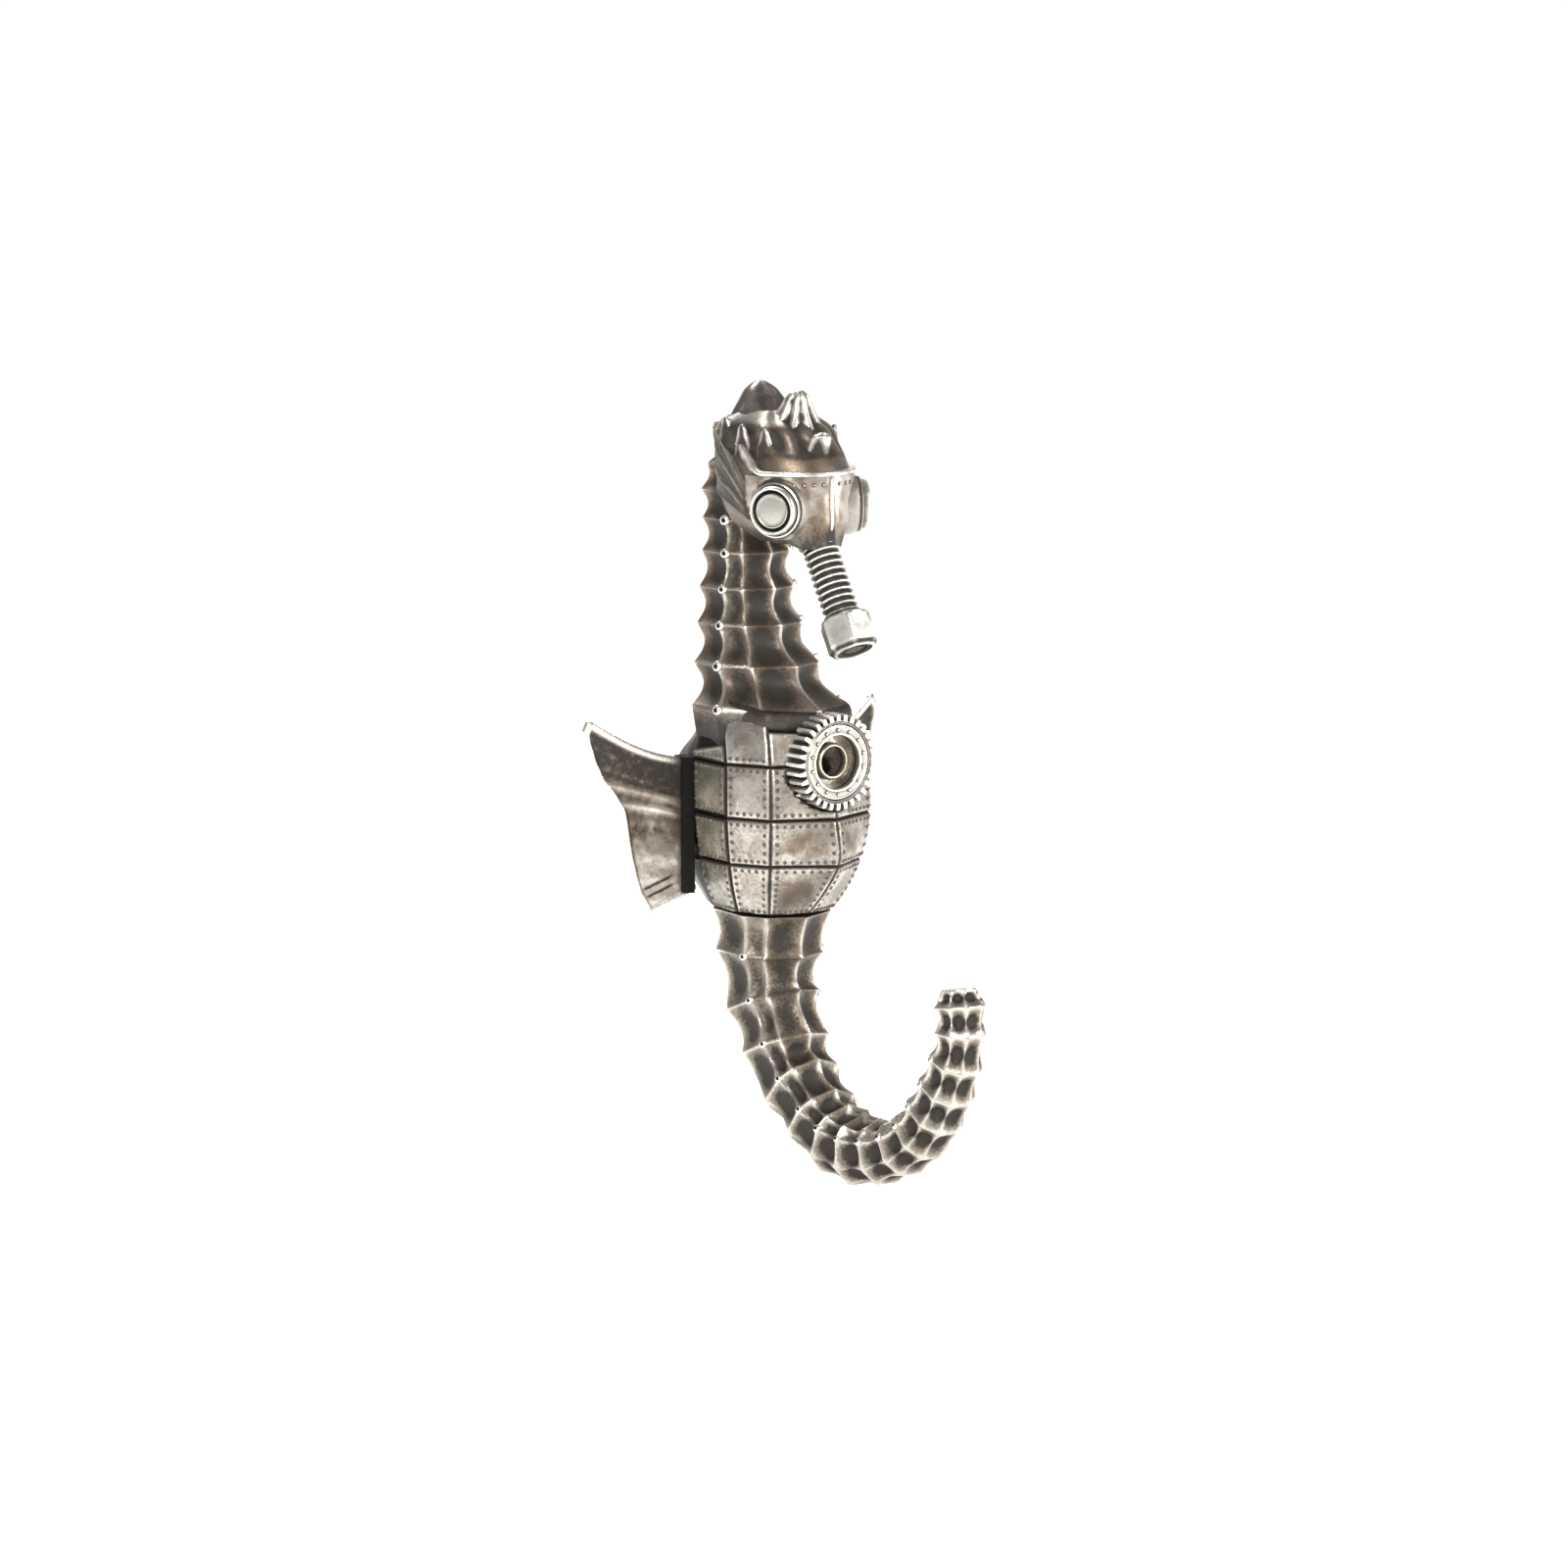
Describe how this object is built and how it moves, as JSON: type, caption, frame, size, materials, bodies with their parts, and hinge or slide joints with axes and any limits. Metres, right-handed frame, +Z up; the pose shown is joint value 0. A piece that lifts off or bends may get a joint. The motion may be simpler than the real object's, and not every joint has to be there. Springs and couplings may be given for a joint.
{
  "type": "wall hook",
  "caption": "Seahorse-shaped wall hook in antique silver metal with riveted armour, a turning gear round its screw hole, side fins and a curled tail that is the hook.",
  "frame": {"origin": "on the wall plane, on the axis of the screw hole", "axes": "+Z up, -Y away from the wall, X across the body"},
  "size_m": [0.093, 0.1042, 0.198],
  "materials": {
    "antique_pewter": "antique silver with dark recesses",
    "plate_pewter": "worn antique silver",
    "bright_pewter": "rubbed bright silver",
    "dark_metal": "dark oxidised metal",
    "black_seal": "matt black"
  },
  "bodies": {
    "root": {"belly_core": "antique_pewter", "neck_casting": "antique_pewter", "collar_fold": "antique_pewter", "skull_casting": "antique_pewter", "tail_stem": "antique_pewter", "tail_hook": "antique_pewter", "tail_tip": "antique_pewter", "mask_shell": "antique_pewter", "nose_ridge": "antique_pewter", "crown_horn": "antique_pewter", "fluted_horn": "antique_pewter", "brow_nub": "antique_pewter", "crown_spikes": "antique_pewter", "head_straps_left": "antique_pewter", "head_straps_right": "antique_pewter", "fin_left": "antique_pewter", "fin_right": "antique_pewter", "plates_top_front": "plate_pewter", "plates_top_side": "plate_pewter", "plates_top_rear": "plate_pewter", "plates_upper_front": "plate_pewter", "plates_upper_side": "plate_pewter", "plates_upper_rear": "plate_pewter", "plates_lower_front": "plate_pewter", "plates_lower_side": "plate_pewter", "plates_lower_rear": "plate_pewter", "plates_bottom_front": "plate_pewter", "plates_bottom_side": "plate_pewter", "plates_bottom_rear": "plate_pewter", "hub_face": "bright_pewter", "mask_rim_band": "bright_pewter", "goggle_bezel_left": "bright_pewter", "goggle_bezel_right": "bright_pewter", "goggle_lens_left": "bright_pewter", "goggle_lens_right": "bright_pewter", "snout_nut": "bright_pewter", "neck_studs": "bright_pewter", "tail_studs": "bright_pewter", "neck_pin": "dark_metal", "head_pin": "dark_metal", "stem_pin": "dark_metal", "hook_pin": "dark_metal", "fin_pins": "dark_metal", "gear_hub": "dark_metal", "thrust_washer": "dark_metal", "screw_eyelet": "dark_metal", "snout_hose": "dark_metal", "snout_collar": "dark_metal", "armour_rivets": "dark_metal", "mask_rivets": "dark_metal", "hub_studs": "dark_metal", "snout_cap": "dark_metal", "goggle_seal_left": "black_seal", "goggle_seal_right": "black_seal", "fin_gasket_left": "black_seal", "fin_gasket_right": "black_seal"},
    "gear": {"gear_ring": "bright_pewter"}
  },
  "joints": [
    {"name": "gear_spin", "type": "hinge", "parent": "root", "child": "gear", "pos_m": [0, -0.0458, 0], "axis": [0, -1, 0], "continuous": true}
  ]
}
